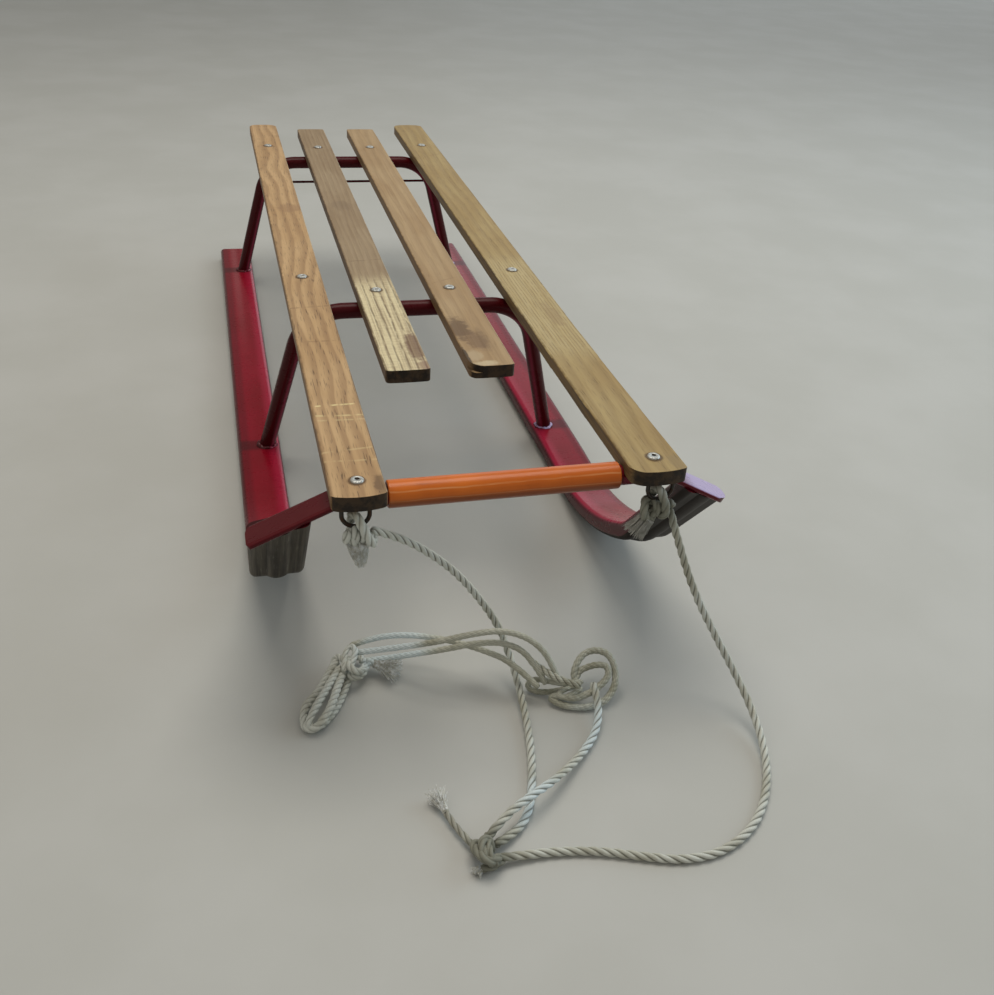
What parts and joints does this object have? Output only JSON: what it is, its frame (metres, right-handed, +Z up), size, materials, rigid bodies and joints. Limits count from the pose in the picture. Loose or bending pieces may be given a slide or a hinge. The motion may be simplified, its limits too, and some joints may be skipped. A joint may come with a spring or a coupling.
{
  "type": "slatted toboggan",
  "caption": "Child's toboggan with long wooden slats on curled flat-oval steel runners, tube arches, a gripped cross tube at the nose and a knotted pull rope.",
  "frame": {"origin": "on the floor under the middle of the slats, midway between the runners", "axes": "+Z up; -Y is the way the nose points; +X is to the right of someone who stands in front and looks at the nose"},
  "size_m": [0.3578, 1.1726, 0.191],
  "materials": {
    "slat_ochre": "varnished, worn",
    "slat_grey": "weathered, varnish half gone",
    "slat_tan": "varnished, worn",
    "slat_yellow": "varnished, worn",
    "runner_paint": "gloss",
    "arch_paint": "gloss, worn",
    "bridge_paint": "gloss",
    "grip_plastic": "gloss",
    "eye_wire": "tarnished",
    "rope": "three-strand laid, soiled",
    "rope_strand": "opened strands, soiled"
  },
  "bodies": {
    "root": {"slat_outer_left": "slat_ochre", "slat_inner_left": "slat_grey", "slat_inner_right": "slat_tan", "slat_outer_right": "slat_yellow", "bridge_tube": "bridge_paint", "grip_sleeve": "grip_plastic", "runner_left": "runner_paint", "runner_right": "runner_paint", "arch_front": "arch_paint", "arch_rear": "arch_paint", "tie_rod_rear": "arch_paint", "lug_front_left": "arch_paint", "lug_front_right": "arch_paint", "lug_rear_left": "arch_paint", "lug_rear_right": "arch_paint", "eye_left": "eye_wire", "eye_right": "eye_wire", "knot_eye_left": "rope", "knot_eye_right": "rope", "knot_floor": "rope", "tangle": "rope", "hank": "rope", "rope_right": "rope", "rope_left": "rope", "rope_tail": "rope", "rope_rise": "rope", "strand_top": "rope_strand", "strand_middle": "rope_strand", "strand_back": "rope_strand"}
  },
  "joints": []
}
